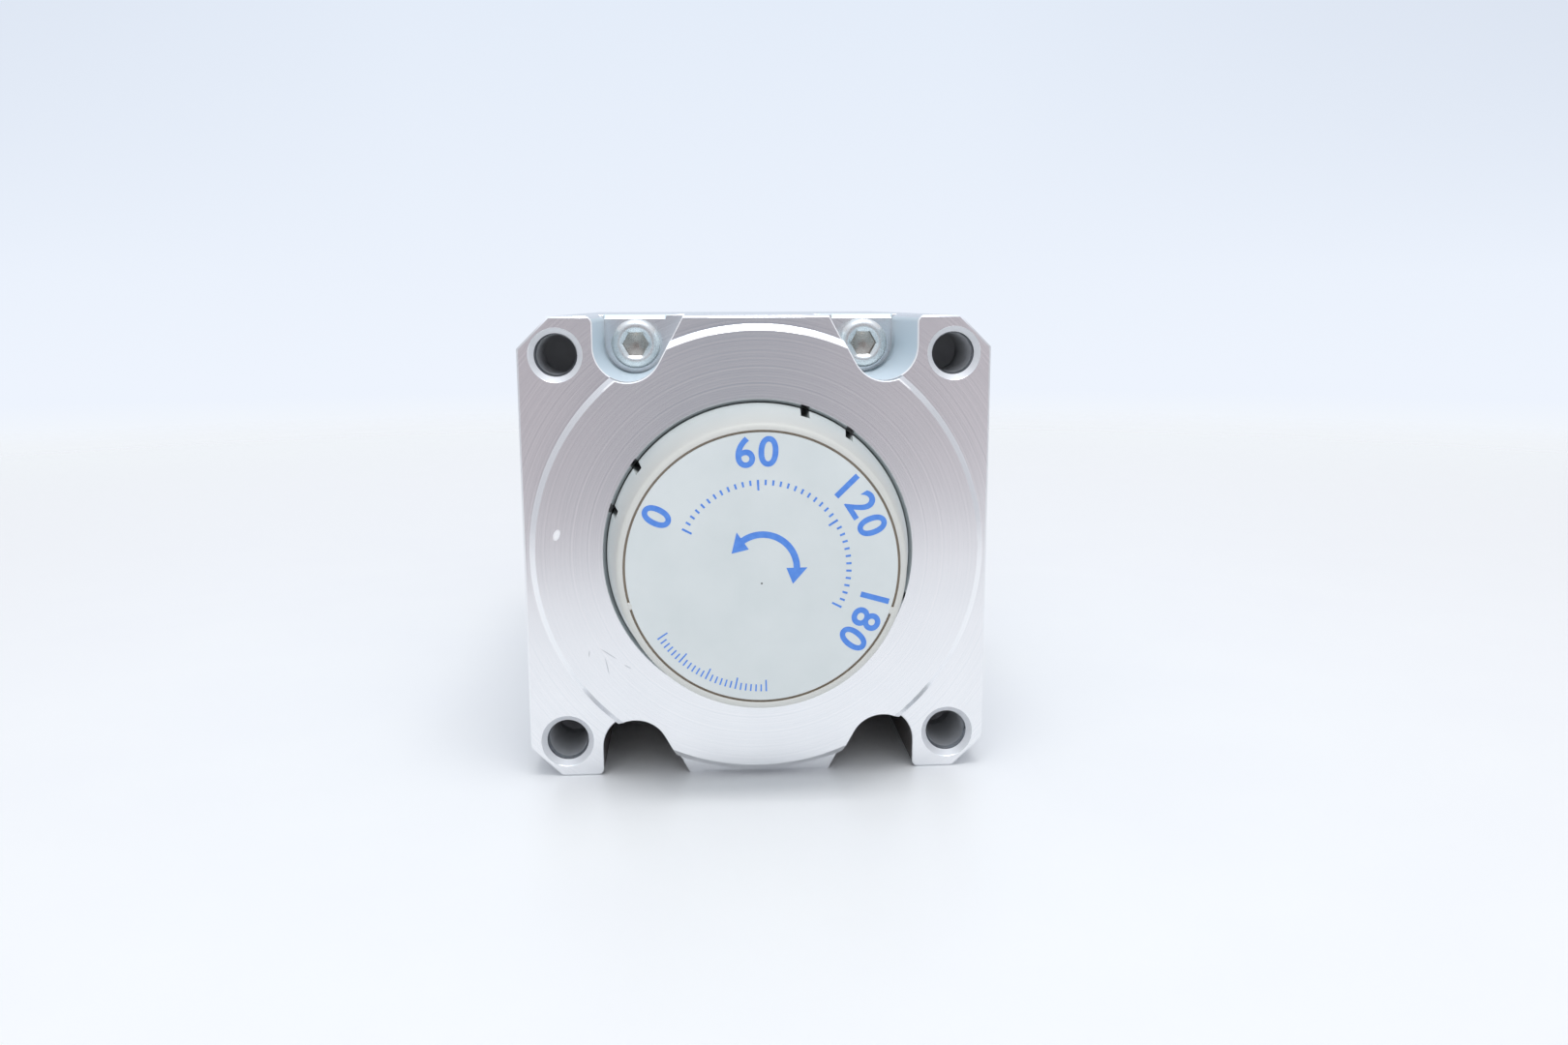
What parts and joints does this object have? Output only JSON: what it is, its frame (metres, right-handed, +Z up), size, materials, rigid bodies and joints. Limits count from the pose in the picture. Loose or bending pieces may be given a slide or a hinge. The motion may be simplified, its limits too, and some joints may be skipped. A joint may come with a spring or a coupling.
{
  "type": "rotary gripper",
  "caption": "Pneumatic rotary gripper: a vane actuator in a square flanged housing turns a head whose two parallel fingers are opened and closed by a piston and bell cranks.",
  "frame": {"origin": "on the turning axis, on the face of the square mounting flange, at the foot of the boss", "axes": "+Y along the turning axis from the mounting flange to the fingers, +Z up, +X to the right when looking along +Y; the fingers move along X in the rest pose"},
  "size_m": [0.083, 0.1667, 0.075],
  "materials": {
    "housing_aluminium": "clear anodised, milled and turned",
    "light_alloy": "machined",
    "machined_steel": "ground",
    "plated_fasteners": "zinc plated",
    "spring_steel": "phosphated",
    "bearing_steel": "polished",
    "cage_nylon": "moulded",
    "cap_resin": "moulded, pale grey",
    "disc_sheet": "printed sheet",
    "seal_rubber": "moulded",
    "magnet": "sintered"
  },
  "bodies": {
    "body": {"rear_body": "housing_aluminium", "front_body": "housing_aluminium", "housing_screws": "plated_fasteners", "rear_cap": "cap_resin", "cap_disc": "disc_sheet", "vane_stopper": "light_alloy", "stopper_seal": "seal_rubber", "stopper_pins": "machined_steel", "housing_seal": "seal_rubber", "shaft_seals": "seal_rubber", "rear_bearing_outer": "bearing_steel", "rear_bearing_clip": "spring_steel", "front_bearing_outer": "bearing_steel", "bearing_retainer": "housing_aluminium", "retainer_screws": "plated_fasteners", "dust_seal": "seal_rubber", "rotary_seals": "seal_rubber", "angle_screws": "plated_fasteners", "angle_lock_nuts": "plated_fasteners"},
    "rotor": {"vane_shaft": "machined_steel", "vane": "light_alloy", "vane_seal": "seal_rubber", "shaft_clip": "spring_steel", "rear_bearing_inner": "bearing_steel", "magnet_arm": "light_alloy", "arm_magnet": "magnet", "tail_washer": "plated_fasteners", "tail_screw": "plated_fasteners", "stop_lever": "machined_steel", "stop_key": "machined_steel", "barrel": "light_alloy", "barrel_bolt": "plated_fasteners", "front_bearing_inner": "bearing_steel", "rod_cover": "light_alloy", "rod_seal": "seal_rubber", "cover_clip": "spring_steel", "gripper_head": "light_alloy", "head_screws": "plated_fasteners", "lever_pins": "machined_steel", "finger_guide": "machined_steel", "guide_screws": "plated_fasteners", "guide_end_plates": "plated_fasteners", "end_plate_screws": "plated_fasteners"},
    "piston": {"piston": "light_alloy", "piston_seal": "seal_rubber", "piston_magnet": "magnet", "piston_rod": "machined_steel", "piston_screw": "plated_fasteners"},
    "lever_left": {"lever_left": "machined_steel"},
    "finger_left": {"finger_left": "machined_steel"},
    "guide_balls_left": {"guide_balls_left": "bearing_steel"},
    "lever_right": {"lever_right": "machined_steel"},
    "finger_right": {"finger_right": "machined_steel"},
    "guide_balls_right": {"guide_balls_right": "bearing_steel"},
    "rear_balls": {"rear_bearing_balls": "bearing_steel", "rear_bearing_cage": "cage_nylon"},
    "front_balls": {"front_bearing_balls": "bearing_steel", "front_bearing_cage": "cage_nylon"}
  },
  "joints": [
    {"name": "head_turn", "type": "hinge", "parent": "body", "child": "rotor", "pos_m": [0, 0, 0], "axis": [0, 1, 0], "range_deg": [-90, 90]},
    {"name": "piston_slide", "type": "slide", "parent": "rotor", "child": "piston", "axis": [0, 1, 0], "range_m": [-0.007, 0]},
    {"name": "rear_balls_roll", "type": "hinge", "parent": "body", "child": "rear_balls", "pos_m": [0, 0.0175, 0], "axis": [0, 1, 0], "range_deg": [-37.5, 37.5]},
    {"name": "front_balls_roll", "type": "hinge", "parent": "body", "child": "front_balls", "pos_m": [0, 0.0985, 0], "axis": [0, 1, 0], "range_deg": [-42, 42]},
    {"name": "lever_swing_right", "type": "hinge", "parent": "rotor", "child": "lever_right", "pos_m": [0.016, 0.113, 0], "axis": [0, 0, 1], "range_deg": [-0.5, 34.5]},
    {"name": "finger_slide_right", "type": "slide", "parent": "rotor", "child": "finger_right", "axis": [1, 0, 0], "range_m": [-0.007, 0]},
    {"name": "guide_balls_roll_right", "type": "slide", "parent": "rotor", "child": "guide_balls_right", "axis": [1, 0, 0], "range_m": [-0.0036, 0.0001]},
    {"name": "lever_swing_left", "type": "hinge", "parent": "rotor", "child": "lever_left", "pos_m": [-0.016, 0.113, 0], "axis": [0, 0, -1], "range_deg": [-0.5, 34.5]},
    {"name": "finger_slide_left", "type": "slide", "parent": "rotor", "child": "finger_left", "axis": [-1, 0, 0], "range_m": [-0.007, 0]},
    {"name": "guide_balls_roll_left", "type": "slide", "parent": "rotor", "child": "guide_balls_left", "axis": [-1, 0, 0], "range_m": [-0.0036, 0.0001]}
  ],
  "couplings": [
    {"joint": "rear_balls_roll", "follows": "head_turn", "ratio": 0.4115},
    {"joint": "front_balls_roll", "follows": "head_turn", "ratio": 0.4587},
    {"joint": "lever_swing_right", "follows": "piston_slide", "rad_per_m": -84.565},
    {"joint": "finger_slide_right", "follows": "piston_slide", "ratio": 1},
    {"joint": "guide_balls_roll_right", "follows": "piston_slide", "ratio": 0.5},
    {"joint": "lever_swing_left", "follows": "piston_slide", "rad_per_m": -84.565},
    {"joint": "finger_slide_left", "follows": "piston_slide", "ratio": 1},
    {"joint": "guide_balls_roll_left", "follows": "piston_slide", "ratio": 0.5}
  ]
}
